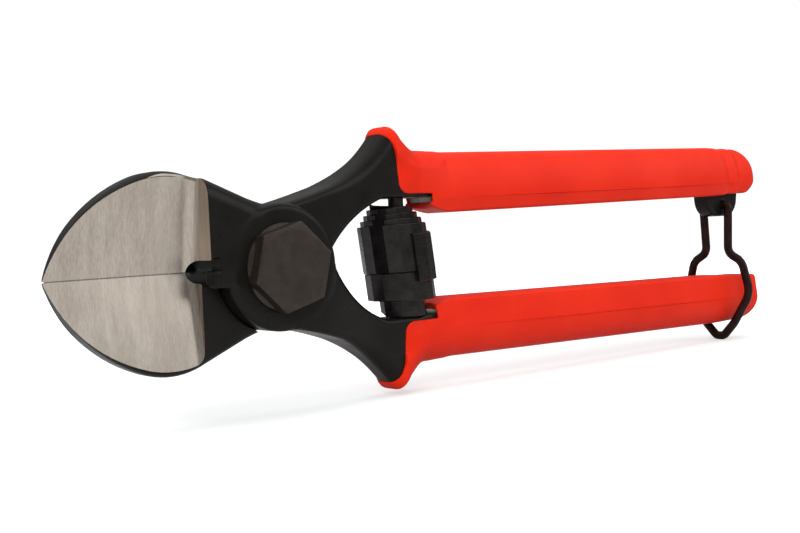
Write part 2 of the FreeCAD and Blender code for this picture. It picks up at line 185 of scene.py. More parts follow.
def outline(start, *steps):
    """Points of a closed outline.  A step of one point is a line; two are an
    arc through the first to the second."""
    points = [start]
    for step in steps:
        if isinstance(step[0], tuple):
            points += arc(points[-1], *step)
        else:
            points.append(step)
    return points


def arc(start, through, end, count=14):
    """Points after start on the circle through three points."""
    a, b, c = (complex(*p) for p in (start, through, end))
    w = (c - a) / (b - a)
    centre = a + (b - a) * (w - abs(w) ** 2) / (w - w.conjugate())
    first = math.atan2((a - centre).imag, (a - centre).real)
    span = math.atan2(((c - centre) / (a - centre)).imag, ((c - centre) / (a - centre)).real)
    half = math.atan2(((b - centre) / (a - centre)).imag, ((b - centre) / (a - centre)).real)
    if span * half < 0 or abs(half) > abs(span):
        span -= math.copysign(2 * math.pi, span)
    radius = abs(a - centre)
    turns = [first + span * (i + 1) / count for i in range(count)]
    return [(centre.real + radius * math.cos(t), centre.imag + radius * math.sin(t))
            for t in turns]


def polygon(points):
    """Field of a flat outline in XZ."""
    def field(x, z):
        nearest, inside = np.inf, False
        for (ax, az), (bx, bz) in zip(points, points[1:] + points[:1]):
            along_x, along_z = bx - ax, bz - az
            from_x, from_z = x - ax, z - az
            length = along_x ** 2 + along_z ** 2
            if length == 0:
                continue
            t = np.clip((from_x * along_x + from_z * along_z) / length, 0, 1)
            gap = (from_x - along_x * t) ** 2 + (from_z - along_z * t) ** 2
            nearest = np.minimum(nearest, gap)
            if along_z:
                beside = from_x < along_x * from_z / along_z
                inside = inside ^ (((az > z) != (bz > z)) & beside)
        return np.where(inside, -1, 1) * np.sqrt(nearest)
    return field


def steps_of(*stretches):
    """Grid lines: each stretch is (from, to, spacing)."""
    lines = [np.linspace(a, b, max(2, round((b - a) / gap) + 1)) for a, b, gap in stretches]
    return np.unique(np.concatenate(lines).round(4))


def gradient(field, at, reach=0.02):
    """Slope of a field at points, from differences over a short reach."""
    slopes = []
    for axis in range(3):
        step = np.zeros(3)
        step[axis] = reach
        slopes.append((field(*(at + step).T) - field(*(at - step).T)) / (2 * reach))
    return np.stack(slopes, 1)


def surface(field, xs, ys, zs):
    """Mesh of a field's zero surface: one corner in each grid cell that the
    surface crosses, moved onto the surface, and a face round each crossed edge."""
    value = field(xs[:, None, None], ys[None, :, None], zs[None, None, :])
    value = np.broadcast_to(value, (len(xs), len(ys), len(zs)))
    inside = value < 0
    shape = tuple(n - 1 for n in value.shape)
    corners = [(i, j, k) for i in (0, 1) for j in (0, 1) for k in (0, 1)]
    count = sum(inside[i:i + shape[0], j:j + shape[1], k:k + shape[2]].astype(np.int8)
                for i, j, k in corners)
    cells = np.argwhere((count > 0) & (count < 8))
    number = np.full(shape, -1, np.int64)
    number[tuple(cells.T)] = np.arange(len(cells))
    lines = (xs, ys, zs)
    total, crossings = np.zeros((len(cells), 3)), np.zeros((len(cells), 1))
    for a in corners:
        for axis in range(3):
            if a[axis]:
                continue
            b = tuple(c + (n == axis) for n, c in enumerate(a))
            at_a, at_b = cells + a, cells + b
            va, vb = value[tuple(at_a.T)], value[tuple(at_b.T)]
            crossed = (va < 0) != (vb < 0)
            t = np.where(crossed, va / np.where(crossed, va - vb, 1), 0)[:, None]
            pa = np.stack([line[at_a[:, n]] for n, line in enumerate(lines)], 1)
            pb = np.stack([line[at_b[:, n]] for n, line in enumerate(lines)], 1)
            total += np.where(crossed[:, None], pa + (pb - pa) * t, 0)
            crossings += crossed[:, None]
    points = total / crossings
    faces = []
    for axis in range(3):
        u, v = [n for n in range(3) if n != axis]
        low = np.take(inside, range(shape[axis]), axis)
        high = np.take(inside, range(1, shape[axis] + 1), axis)
        edge = np.argwhere(low != high)
        edge = edge[(edge[:, u] > 0) & (edge[:, v] > 0)]
        edge = edge[(edge[:, u] < shape[u]) & (edge[:, v] < shape[v])]
        ring = []
        for du, dv in ((1, 1), (0, 1), (0, 0), (1, 0)):
            cell = edge.copy()
            cell[:, u] -= du
            cell[:, v] -= dv
            ring.append(number[tuple(cell.T)])
        quad = np.stack(ring, 1)
        outward = low[tuple(edge.T)] == (axis != 1)
        quad[~outward] = quad[~outward][:, ::-1]
        faces.append(quad)
    slope = gradient(field, points)
    size = np.maximum((slope ** 2).sum(1), 0.25)
    move = slope * (field(*points.T) / size)[:, None]
    return points - np.clip(move, -0.15, 0.15), np.concatenate(faces)


# ---------------------------------------------------------------------- pieces
def place(points, turned=False):
    """Millimetres from the pivot to metres in the frame; turned for the rear half."""
    points = np.asarray(points, float)
    if turned:
        points = points * (1, -1, -1)
    return points * MM + np.array(PIVOT)


def make(name, points, faces, materials, turned=False):
    """Object with a mesh whose faces point outwards."""
    mesh = bpy.data.meshes.new(name)
    mesh.from_pydata(place(points, turned).tolist(), [], np.asarray(faces).tolist()
                     if isinstance(faces, np.ndarray) else faces)
    for material in materials:
        mesh.materials.append(material)
    mesh.update()
    piece = bpy.data.objects.new(name, mesh)
    bpy.context.scene.collection.objects.link(piece)
    point_outwards(piece)
    return piece


def point_outwards(piece):
    shape = bmesh.new()
    shape.from_mesh(piece.data)
    bmesh.ops.recalc_face_normals(shape, faces=shape.faces)
    shape.to_mesh(piece.data)
    shape.free()


def sweep(rings):
    """Skin over rings of points, closed at both ends."""
    count = len(rings[0])
    points = [p for ring in rings for p in ring]
    faces = []
    for row in range(len(rings) - 1):
        base = row * count
        faces += [[base + i, base + (i + 1) % count, base + count + (i + 1) % count,
                   base + count + i] for i in range(count)]
    last = (len(rings) - 1) * count
    faces += [list(range(count))[::-1], list(range(last, last + count))]
    return points, faces


def soften(piece, angle=35):
    """Smooth shading, with sharp edges where faces meet at more than the angle."""
    piece.data.shade_smooth()
    piece.data.set_sharp_from_angle(angle=math.radians(angle))


def settle(piece, node, body):
    """Hides the CAD node that a piece stands for, and ties the piece to its body."""
    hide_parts(node)
    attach(piece, body)


def carve(piece, *cutters):
    """Cuts the cutters out of the piece, all in one go, so that each cut is made in
    the clean closed mesh.  Cut faces keep the cutter's material."""
    group = bpy.data.collections.new("cutters")
    for cutter in cutters:
        group.objects.link(cutter)
    cut = piece.modifiers.new("cut", "BOOLEAN")
    cut.operation = "DIFFERENCE"
    cut.solver = "EXACT"
    cut.operand_type = "COLLECTION"
    cut.collection = group
    graph = bpy.context.evaluated_depsgraph_get()
    cut_mesh = bpy.data.meshes.new_from_object(piece.evaluated_get(graph))
    piece.modifiers.clear()
    piece.data = cut_mesh
    for cutter in cutters:
        bpy.data.objects.remove(cutter)
    bpy.data.collections.remove(group)


# ------------------------------------------------------------------- materials
class Nodes:
    """A material with a Principled shader and helpers that add nodes to it."""

    def __init__(self, name, **sockets):
        self.material = bpy.data.materials.new(name)
        self.material.use_nodes = True
        self.tree = self.material.node_tree
        self.shader = self.tree.nodes["Principled BSDF"]
        for socket, value in sockets.items():
            self.shader.inputs[socket.replace("_", " ")].default_value = value

    def add(self, kind, **inputs):
        node = self.tree.nodes.new("ShaderNode" + kind)
        for name, value in inputs.items():
            self.set(node, name.replace("_", " "), value)
        return node

    def set(self, node, socket, value):
        target = node.inputs[socket]
        if isinstance(value, bpy.types.NodeSocket):
            self.tree.links.new(value, target)
        else:
            target.default_value = value

    def coordinates(self, scale=(1, 1, 1)):
        """Object coordinates in millimetres from the pivot, stretched by scale."""
        where = self.add("TexCoord").outputs["Object"]
        move = self.add("Mapping", Vector=where)
        move.inputs["Location"].default_value = [-s * p / MM for s, p in zip(scale, PIVOT)]
        move.inputs["Scale"].default_value = [s / MM for s in scale]
        return move.outputs["Vector"]

    def noise(self, size, stretch=(1, 1, 1), detail=4.0, rough=0.5):
        """Noise whose grain is about size millimetres, longer along small stretches."""
        scale = [s / size for s in stretch]
        texture = self.add("TexNoise", Vector=self.coordinates(scale), Scale=1.0,
                           Detail=detail, Roughness=rough)
        return texture.outputs["Fac"]

    def ramp(self, value, *stops):
        """Colours at places between 0 and 1."""
        node = self.add("ValToRGB", Fac=value)
        band = node.color_ramp
        while len(band.elements) < len(stops):
            band.elements.new(0.5)
        for element, (position, colour) in zip(band.elements, stops):
            element.position = position
            if not isinstance(colour, tuple):
                colour = (colour, colour, colour)
            element.color = (*colour, 1)
        return node.outputs["Color"]

    def maths(self, operation, a, b=0.0, c=0.0):
        node = self.tree.nodes.new("ShaderNodeMath")
        node.operation = operation
        for number, value in enumerate((a, b, c)):
            self.set(node, number, value)
        return node.outputs[0]

    def bump(self, height, depth, strength=1.0, onto=None):
        """Bump of the given depth in millimetres."""
        node = self.add("Bump", Height=height, Strength=strength, Distance=depth * MM)
        if onto is not None:
            self.set(node, "Normal", onto)
        return node.outputs["Normal"]

    def wire(self, **links):
        for socket, value in links.items():
            self.set(self.shader, socket.replace("_", " "), value)
        return self.material


def lacquer():
    """Gloss black lacquer over forged steel, with a faint orange peel and dust."""
    m = Nodes("black_lacquer", IOR=1.38, Specular_IOR_Level=0.2, Coat_Weight=0.04,
              Coat_Roughness=0.15)
    tone = m.ramp(m.noise(9), (0.3, (0.0062, 0.0056, 0.0046)), (0.75, (0.0100, 0.0088, 0.0072)))
    rough = m.ramp(m.noise(3.5, detail=6), (0.3, 0.26), (0.8, 0.40))
    peel = m.bump(m.noise(1.3, detail=2), 0.02, 0.5)
    waves = m.bump(m.noise(7, detail=2), 0.12, 0.5, peel)
    return m.wire(Base_Color=tone, Roughness=rough, Normal=waves)


def ground():
    """Bare ground steel: grinding lines run across the cutting line."""
    m = Nodes("ground_steel", Metallic=1.0, Anisotropic=0.35)
    fine = m.noise(0.22, (1, 1, 0.012), detail=6, rough=0.7)
    broad = m.noise(1.6, (1, 1, 0.05), detail=4, rough=0.6)
    cloud = m.noise(7, (1, 1, 0.5), detail=3)
    mixed = m.maths("MULTIPLY_ADD", fine, 0.55, m.maths("MULTIPLY_ADD", broad, 0.3,
                                                        m.maths("MULTIPLY", cloud, 0.15)))
    tone = m.ramp(mixed, (0.32, (0.38, 0.325, 0.275)), (0.5, (0.57, 0.505, 0.435)),
                  (0.68, (0.75, 0.68, 0.60)))
    height = m.add("SeparateXYZ", Vector=m.coordinates()).outputs["Z"]
    # Painted shade: the steel darkens within about 0.16 mm of the cutting line, drawing a dark
    # line where the two jaws meet.
    painted_edge_shade = m.ramp(m.maths("ABSOLUTE", height), (0.05, 0.25), (0.16, 1.0))
    both = m.add("Mix", Factor=1.0)
    both.data_type, both.blend_type = "RGBA", "MULTIPLY"
    m.set(both, 6, tone)
    m.set(both, 7, painted_edge_shade)
    rough = m.ramp(fine, (0.3, 0.27), (0.7, 0.42))
    return m.wire(Base_Color=both.outputs[2], Roughness=rough,
                  Normal=m.bump(fine, 0.012, 0.6))


def vinyl():
    """Glossy dipped vinyl, with soft waves and tiny pits."""
    m = Nodes("red_vinyl", IOR=1.42, Specular_IOR_Level=0.16, Coat_Weight=0.03,
              Coat_Roughness=0.2, Subsurface_Weight=0.12, Subsurface_Scale=0.0015)
    m.shader.inputs["Subsurface Radius"].default_value = (1.0, 0.25, 0.1)
    tone = m.ramp(m.noise(14), (0.3, (0.66, 0.017, 0.0035)), (0.75, (0.74, 0.024, 0.006)))
    rough = m.ramp(m.noise(4, detail=5), (0.3, 0.44), (0.8, 0.56))
    waves = m.bump(m.noise(5, (0.4, 1, 1), detail=2), 0.08, 0.4)
    pits = m.bump(m.noise(0.5, detail=3), 0.008, 0.5, waves)
    return m.wire(Base_Color=tone, Roughness=rough, Normal=pits)


def burnished(name="burnished_steel", dark=(0.040, 0.031, 0.026), light=(0.062, 0.050, 0.043)):
    """Dark brown burnished steel with a fine mottle."""
    m = Nodes(name, Metallic=0.75)
    mottle = m.noise(2.6, detail=6, rough=0.55)
    tone = m.ramp(mottle, (0.3, dark), (0.75, light))
    rough = m.ramp(m.noise(0.4, detail=4), (0.3, 0.34), (0.8, 0.50))
    return m.wire(Base_Color=tone, Roughness=rough,
                  Normal=m.bump(m.noise(0.35, detail=5), 0.010, 0.6))


def strip_steel():
    """Black oxide spring strip, with drawing lines along the strip."""
    m = Nodes("spring_steel", Metallic=0.7)
    lines = m.noise(0.5, (0.15, 0.15, 1), detail=5, rough=0.6)
    tone = m.ramp(m.noise(2.5, detail=4), (0.3, (0.014, 0.011, 0.011)),
                  (0.8, (0.032, 0.027, 0.027)))
    rough = m.ramp(lines, (0.3, 0.20), (0.75, 0.32))
    return m.wire(Base_Color=tone, Roughness=rough, Normal=m.bump(lines, 0.01, 0.5))


BLACK = lacquer()
STEEL = ground()
RED = vinyl()
BROWN = burnished()
OXIDE = strip_steel()
WIRE_BROWN = burnished("wire_steel", (0.016, 0.0075, 0.0065), (0.036, 0.018, 0.015))


# ---------------------------------------------------------------- forged halves
def on_boss(degrees):
    turn = math.radians(degrees)
    return (BOSS * math.cos(turn), BOSS * math.sin(turn))


ROOT_BACK = [(-6.0, 13.1), ((-4.0, 12.4), on_boss(100)), (0.0, EDGE_GAP)]
JAW = polygon(outline((-TIP_REACH, EDGE_GAP), ((-36.8, 10.5), CROWN_START),
                      (CROWN_TOP, CROWN_END), *ROOT_BACK))
ROOT = polygon(outline((-30.0, -9.0), (-30.0, 17.4), CROWN_END, *ROOT_BACK, (0.0, -9.0)))
RELIEF = polygon(outline((RELIEF_NOSE, 0.0),
                         ((RELIEF_NOSE + 0.9, RELIEF_HALF - 0.7),
                          (RELIEF_NOSE + 2.6, RELIEF_HALF)), (RELIEF_END, RELIEF_HALF),
                         (RELIEF_END, -RELIEF_HALF), (RELIEF_NOSE + 2.6, -RELIEF_HALF),
                         ((RELIEF_NOSE + 0.9, 0.7 - RELIEF_HALF), (RELIEF_NOSE, -0.02))))
SHANK_OUTER = SHANK_INNER + SHANK_HEIGHT
NECK = polygon(outline((0.0, 0.0), (BOSS, 0.0), ((16.0, -5.6), (26.5, -SEAT)),
                       (39.5, -SEAT), (41.0, -SHANK_INNER - 0.2),
                       (NECK_TO, -SHANK_INNER - 0.2), (NECK_TO, -SHANK_OUTER + 0.4),
                       (38.5, -SHANK_OUTER + 0.1),
                       ((33.6, -21.6), (31.2, -24.2)), ((30.2, -26.0), (28.2, -26.0)),
                       ((22.6, -20.3), (14.3, -15.2)), ((8.0, -13.2), on_boss(-80))))


def handle_z(x, height):
    """Height along the handle, which leans away from the other handle."""
    return height + (x - SPREAD_FROM) * SPREAD


def bar(x, y, z, half, inner, height, end, heel, nose, soft):
    """Field of a bar along the lower handle: flat inside, creased at a seam on
    each side, oval outside, rounded at the end."""
    depth = -z - handle_z(x, inner)
    seam = np.where(y < 0, FRONT_SEAM, BACK_SEAM) * height / GRIP_HEIGHT
    flat = 0.85 * half
    across, along = np.abs(y) / half, (depth - seam) / (height - seam)
    ring = np.hypot(across, along)
    slope = np.hypot(across / half, along / (height - seam))
    oval = ring * (ring - 1) / np.maximum(slope, 1e-6)
    side = ((np.abs(y) - flat) * seam - depth * (half - flat)) / np.hypot(seam, half - flat)
    section = round_max(np.where(depth < seam, side, oval), -depth, soft)
    tip = np.maximum(round_max(x - end, -depth, heel), round_max(x - end, depth - height, nose))
    near_end = np.clip((x - end + 16) / 8, 0.01, 1)
    return round_max(round_max(section, tip, soft * 1.6 * near_end), SHANK_FROM - x, 0.3)


def neck_front(x):
    """Y of the neck's front face: full boss height at the pivot, lower at the guard."""
    return -LAYER + (LAYER - NECK_HALF) * ease(x, 8, 25)


def neck(x, y, z):
    """The neck: thinner into the handle, and sharper along its inner side."""
    narrower = 1.2 * ease(x, 33, 43)
    thick = np.maximum(neck_front(x) - y, y - NECK_HALF) + narrower
    middle = -8.0 - 0.69 * (np.minimum(x, 25.0) - 12.0)
    outer_side = 1 - ease(z, middle - 2, middle + 2)
    edge = BOSS_ROUND + ease(x, 11, 24) * ((NECK_ROUND - INNER_ROUND) * outer_side
                                           + INNER_ROUND - BOSS_ROUND)
    return round_max(NECK(x, z), thick, edge)


def seat_recess(x, y, z):
    """Round flat that the spring stands on."""
    return np.maximum(np.hypot(x - SPRING_AT, y) - SEAT_RADIUS, -SEAT - z)


def lip(x, y, z):
    """Corner of the root beside the boss, which laps over the other jaw's face and
    closes the relief's end."""
    inner, outer = -JAW_HALF - BOSS_ROOM, -LAYER
    across = np.abs(y - (inner + outer) / 2) - (inner - outer) / 2
    up = np.abs(z + LIP_HEIGHT / 2 - 0.2) - LIP_HEIGHT / 2
    return round_max(round_max(up, np.abs(x - LIP_MIDDLE) - LIP_HALF, 0.5), across, 0.5)


def lug(x, y, z):
    """The latch's ear on the inner side of the shank."""
    reach, top = LATCH.x, LUG_TOP - LATCH.z
    ear = polygon(outline((reach - 7.2, -14.0), (reach - 6.5, -9.4),
                          ((reach - 5.1, top - 1.3), (reach - 2.5, top)),
                          (reach + 2.5, top), ((reach + 5.1, top - 1.3), (reach + 6.5, -9.4)),
                          (reach + 7.2, -14.0)))
    plate = round_max(ear(x, z), np.abs(y) - LUG_HALF, 0.7)
    eye = np.hypot(x - reach, z + LATCH.z) - WIRE - WIRE_PLAY
    return round_max(plate, -eye, 0.25)


def forging(x, y, z, with_lug):
    """One half before its faces are ground: jaw, root, boss, neck and shank."""
    round_pivot = np.hypot(x, z)
    jaw = round_max(JAW(x, z), np.abs(y) - JAW_HALF, RIM_ROUND)
    root = round_max(ROOT(x, z), np.abs(y + LAYER / 2) - LAYER / 2, ROOT_ROUND)
    root = np.maximum(root, np.maximum(EDGE_GAP - z, SHOULDER - 3.0 - x))
    head = round_max(round_min(jaw, root, 1.0), -RELIEF(x, z), 0.25)
    head = round_min(head, lip(x, y, z), 0.3)
    shank = bar(x, y, z, SHANK_HALF, SHANK_INNER, SHANK_HEIGHT, END - COAT, 1.4, 6.0, 0.8)
    body = round_min(round_min(head, neck(x, y, z), 0.8), shank, 1.2)
    boss = round_max(round_pivot - BOSS, np.abs(y + (LAYER + LAP_GAP) / 2)
                     - (LAYER - LAP_GAP) / 2, BOSS_ROUND)
    body = round_min(body, boss, 0.5)
    if with_lug:
        body = round_min(body, lug(x, y, z), 0.6)
    holes = np.minimum(round_pivot - BOLT - BOLT_PLAY,
                       np.maximum(np.hypot(x - SPRING_AT, y) - PEG, -SEAT - PEG_DEPTH - z))
    return np.maximum(body, -holes)


def round_cutter(name, centre, axis, radius, low, high, turned, steel):
    """Cylinder along Y or Z whose wall cuts in bare steel, or in black."""
    count = 96
    rings = []
    for level in (low, high):
        ring = []
        for step in range(count):
            turn = 2 * math.pi * step / count
            u, v = radius * math.cos(turn), radius * math.sin(turn)
            offset = (u, level, v) if axis == "Y" else (u, v, level)
            ring.append([c + o for c, o in zip(centre, offset)])
        rings.append(ring)
    cutter = make(name, *sweep(rings), [BLACK, STEEL], turned)
    for face in cutter.data.polygons[:count]:
        face.material_index = int(steel)
    return cutter


def all_steel(cutter):
    for face in cutter.data.polygons:
        face.material_index = 1
    return cutter


def nick_cutter(turned):
    """Cutter that grinds a narrow flat on the jaw's front rim, next to the shoulder.
    It follows the crown, and comes in gently at its far end."""
    out, far, above = NICK_FROM, -9.0, 0.3
    rings = []
    for x, top in [CROWN_START] + arc(CROWN_START, CROWN_TOP, CROWN_END, 24):
        if x > SHOULDER - 0.2:
            break
        clear = -NICK_FADE * (1 - ease(x, -27.0, -21.0))
        past = max(0.0, x - SHOULDER + FRONT_CORNER)
        clear -= FRONT_CORNER - math.sqrt(max(0.0, FRONT_CORNER ** 2 - past ** 2))
        rings.append([(x, y + clear, top + up) for y, up in
                      ((out - 0.05, -NICK_DEPTH), (out + 0.05, above), (far, above),
                       (far, -NICK_DEPTH))])
    return all_steel(make("nick", *sweep(rings), [BLACK, STEEL], turned))


def wheel(name, side, corner, turned):
    """Prism that grinds one face of the upper jaw: flat, then round the wheel's
    corner up to the shoulder.  side is -1 for the front face."""
    far, deep, low, high = -60.0, 20.0, -8.0, 32.0
    profile = [(far, 0.0)]
    for step in range(13):
        turn = math.radians(90 * step / 12)
        profile.append((SHOULDER - corner + corner * math.sin(turn),
                        corner * (1 - math.cos(turn))))
    profile += [(SHOULDER, deep), (far, deep)]
    rings = []
    for z in (low, high):
        ring = []
        for x, out in profile:
            lean_out = out * math.cos(GRIND_SLOPE) + z * math.sin(GRIND_SLOPE)
            lean_z = z * math.cos(GRIND_SLOPE) - out * math.sin(GRIND_SLOPE)
            ring.append((x, side * (lean_out + EDGE_LAND), lean_z))
        rings.append(ring)
    return all_steel(make(name, *sweep(rings), [BLACK, STEEL], turned))


def forged_half(name, node, body, turned):
    """A half meshed from its field, with its ground faces, pocket and seat cut."""
    fine = 0.4
    xs = steps_of((-44.4, 46, fine), (46, 134, 2.0), (134, 156, fine if turned else 1.0))
    ys = steps_of((-8.2, 5.0, fine))
    zs = steps_of((-27.6, 19.6, fine))
    points, faces = surface(lambda x, y, z: forging(x, y, z, turned), xs, ys, zs)
    piece = make(name, points, faces, [BLACK, STEEL], turned)
    carve(piece, wheel("front_wheel", -1, FRONT_CORNER, turned),
          wheel("back_wheel", 1, BACK_CORNER, turned), nick_cutter(turned),
          round_cutter("pocket", (0, 0, 0), "Y", BOSS + BOSS_ROOM, -LAP_GAP, 12, turned, False),
          round_cutter("seat", (SPRING_AT, 0, 0), "Z", SEAT_RADIUS, -SEAT - 0.05, -2, turned,
                       True))
    soften(piece)
    settle(piece, node, body)


# ----------------------------------------------------------------------- grips
COAT_EDGE = polygon(outline((25.6, -29.5), (26.8, -26.0), ((29.0, -23.9), (30.1, -20.6)),
                            (30.5, -15.6), ((30.9, -14.3), (32.0, -13.3)), (40.0, -10.1),
                            (62.0, -4.0), (170.0, -4.0), (170.0, -45.0), (25.6, -45.0)))
# vinyl that fills the corner between the guard and the handle
WEB = polygon(outline((29.0, -20.0), (29.4, -26.3), ((32.0, -24.4), (37.2, -21.9)),
                      (43.0, -21.4), (43.0, -18.0)))


def coat(x, y, z, heel, nose, grooves):
    """The dipped coat: a bar over the shank, and a skin over the back of the guard
    that gets thinner towards its edge.  heel and nose round its end on the inner
    and the outer side; a groove is (where, how deep, how wide)."""
    ring = sum(deep * np.exp(-((x - at) / wide) ** 2) for at, deep, wide in grooves)
    hand = bar(x, y, z, GRIP_HALF, SHANK_INNER - COAT, GRIP_HEIGHT, END, heel, nose, 0.7)
    edge = COAT_EDGE(x, z)
    thick = EDGE_COAT + (GUARD_COAT - EDGE_COAT) * ease(-edge, 0, 4)
    web = round_max(WEB(x, z), np.abs(y) - GRIP_HALF + WEB_THINNING * ease(x, 30, 38), 2.0)
    outer = round_min(round_min(neck(x, y, z) - thick, hand + ring, 1.2), web, 1.4)
    from_spring, floor_gap = np.hypot(x - SPRING_AT, y), -SEAT - COAT_ROOT - 0.2 - z
    lined = np.maximum(from_spring - SEAT_RADIUS + LINING, floor_gap)
    bare = np.maximum(np.maximum(from_spring - SEAT_RADIUS - 0.1, z + LINED_TO), floor_gap)
    return round_max(round_max(outer, edge, 0.15), -np.minimum(lined, bare), 0.25)


def seam_line(side, inner_seam):
    """Thin ridge that the mould leaves along a grip's side."""
    rings = []
    count = 60
    for step in range(count + 1):
        x = SEAM_FROM + (SEAM_TO - SEAM_FROM) * step / count
        middle = -handle_z(x, SHANK_INNER - COAT) - inner_seam
        size = SEAM_RIDGE * min(1, 4 * step / count, 4 * (count - step) / count)
        rings.append([(x, side * (GRIP_HALF + 1.6 * size * math.cos(math.pi * k / 3) - 0.04),
                       middle + size * math.sin(math.pi * k / 3)) for k in range(6)])
    return sweep(rings)


def grip(name, node, body, turned, heel, nose, grooves=()):
    """A coat, hollow where the steel is, and its two seam lines."""
    fine = 0.28
    xs = steps_of((24, 48, fine), (48, 136, 1.5), (136, 156, fine))
    ys = steps_of((-6.4, 6.4, fine))
    zs = steps_of((-28.4, -7.0, fine))

    def shell(x, y, z):
        steel = np.maximum(forging(x, y, z, turned), -seat_recess(x, y, z))
        return np.maximum(coat(x, y, z, heel, nose, grooves), -steel - COAT_ROOT)

    points, faces = surface(shell, xs, ys, zs)
    points, faces = points.tolist(), faces.tolist()
    for side, seam in ((-1, FRONT_SEAM), (1, BACK_SEAM)):
        ridge, ridge_faces = seam_line(side, seam)
        faces += [[i + len(points) for i in face] for face in ridge_faces]
        points += ridge
    piece = make(name, points, faces, [RED], turned)
    soften(piece, 50)
    settle(piece, node, body)


# ----------------------------------------------------------------- pivot group
def hexagon(x, z, turn):
    turns = [turn + k * math.pi / 3 for k in range(3)]
    faces = [np.abs(x * math.cos(a) + z * math.sin(a)) for a in turns]
    return np.maximum(np.maximum(faces[0], faces[1]), faces[2]) - HEX_HALF


def bolt(x, y, z):
    """Flanged hexagon bolt."""
    r = np.hypot(x, z)
    seat, top = -LAYER - FLANGE_HEIGHT, -LAYER - FLANGE_HEIGHT - HEAD
    head = round_max(hexagon(x, z, HEX_TURN), np.maximum(top - y, y - seat - 0.3), 0.2)
    chamfer = (r - FACE_RING) * math.sin(FACE_SLOPE) - (y - top) * math.cos(FACE_SLOPE)
    head = np.maximum(head, chamfer)
    flange = round_max(r - FLANGE, np.maximum(seat - y + 0.3 * np.maximum(r - 7.6, 0),
                                              y + LAYER + 0.02), 0.25)
    end = LAYER + WASHER + NUT + BOLT_END
    stem = round_max(round_max(r - BOLT, y - end, 0.7), seat - y, 0.1)
    return np.minimum(round_min(head, flange, 0.25), stem)


def nut(x, y, z):
    """Hexagon nut, chamfered on its outer face."""
    r = np.hypot(x, z)
    low, high = LAYER + WASHER, LAYER + WASHER + NUT
    body = round_max(hexagon(x, z, NUT_TURN), np.maximum(low - y, y - high), 0.2)
    chamfer = (r - HEX_HALF * 0.94) * 0.5 - (high - y) * 0.866
    return round_max(round_max(body, chamfer, 0.12), BOLT + 0.02 - r, 0.3)


def lock_washer(x, y, z):
    """Split spring washer."""
    r = np.hypot(x, z)
    ring = round_max(np.abs(r - (FLANGE + BOLT) / 2) - (FLANGE - BOLT) / 2 + 0.04,
                     np.abs(y - LAYER - WASHER / 2) - WASHER / 2, 0.3)
    split = np.maximum(np.abs(x + (y - LAYER) * 0.6 - 1.0) - 0.35, -z)
    return round_max(ring, -split, 0.1)


def burnished_piece(name, node, body, field, xs, ys, zs, turned=False):
    piece = make(name, *surface(field, xs, ys, zs), [BROWN], turned)
    soften(piece, 50)
    settle(piece, node, body)


def round_pivot_piece(name, node, field, reach, gap, ys):
    """Burnished piece of the bolt group, centred on the pivot."""
    across = steps_of((-reach, reach, gap))
    burnished_piece(name, node, "rear_half", field, across, ys, across)


def peg(name, node, body, turned):
    """Peg that stands in the seat, inside the spring."""
    def field(x, y, z):
        middle = -SEAT + (PEG_STAND - PEG_DEPTH) / 2
        half = (PEG_STAND + PEG_DEPTH) / 2
        return round_max(np.hypot(x - SPRING_AT, y) - PEG + 0.02, np.abs(z - middle) - half, 0.4)

    burnished_piece(name, node, body, field, steps_of((SPRING_AT - 2.6, SPRING_AT + 2.6, 0.3)),
                    steps_of((-2.6, 2.6, 0.3)), steps_of((-18, -6.8, 0.4)), turned)


# ---------------------------------------------------------------- volute spring
def strip_section(high, low):
    """Corners of the strip's section, slightly rounded: out from its middle, up."""
    half_strip, half_width, soft = STRIP / 2 - 0.03, (high - low) / 2, 0.14
    middle = (high + low) / 2
    section = []
    for sx, sz in ((1, 1), (-1, 1), (-1, -1), (1, -1)):
        corner = [(half_strip - soft, half_width), (half_strip, half_width - soft)]
        if sx * sz < 0:
            corner.reverse()
        section += [(sx * a, middle + sz * b) for a, b in reversed(corner)]
    return section


def wound_strip(first, last, end_angle, high, low):
    """Strip wound in a spiral out to its end in the middle.  Turns are counted from
    where its radius would be INNER_COIL; high and low give its edges' heights."""
    rings = []
    count = round(15 * (last - first))
    for step in range(count + 1):
        t = first + (last - first) * step / count
        angle = math.radians(end_angle) + 2 * math.pi * (last - t)
        radius = INNER_COIL + STRIP * (t - 0.5)
        ring = []
        for out, z in strip_section(high(t), low(t)):
            x, y = (radius + out) * math.cos(angle), (radius + out) * math.sin(angle)
            ring.append((SPRING_AT + x - SPRING_SHIFT - z * math.tan(SPRING_LEAN), y, z))
        rings.append(ring)
    return sweep(rings)


def upper_edge(t):
    """Height of the upper strip's top edge: it comes down as the coils get wider."""
    return SPRING_TOP - COIL_DROP * t - 0.9 * float(ease(t, 4.7, UPPER_END))


def middle_edge(t):
    """Height of the upper strip's bottom edge."""
    return upper_edge(t) - UPPER_STRIP


def foot_edge(t):
    """Height of the lower strip's bottom edge: only its first coil reaches the seat."""
    return FOOT_STEP * float(ease(t, 1.6, 1.9)) - SPRING_FOOT


def volute_spring():
    """A wide strip wound out from the upper seat ends outside the coils, round
    their middle; a second one below it follows its edge, over the lower seat."""
    upper, upper_faces = wound_strip(FIRST_TURN, UPPER_END, UPPER_END_TURN,
                                     upper_edge, middle_edge)
    lower, lower_faces = wound_strip(FIRST_TURN, LOWER_END, UPPER_END_TURN + 180,
                                     lambda t: middle_edge(t) - 0.04, foot_edge)
    faces = upper_faces + [[i + len(upper) for i in face] for face in lower_faces]
    piece = make("volute_spring_strip", upper + lower, faces, [OXIDE])
    soften(piece, 20)
    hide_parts("volute_spring")
    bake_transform(piece)


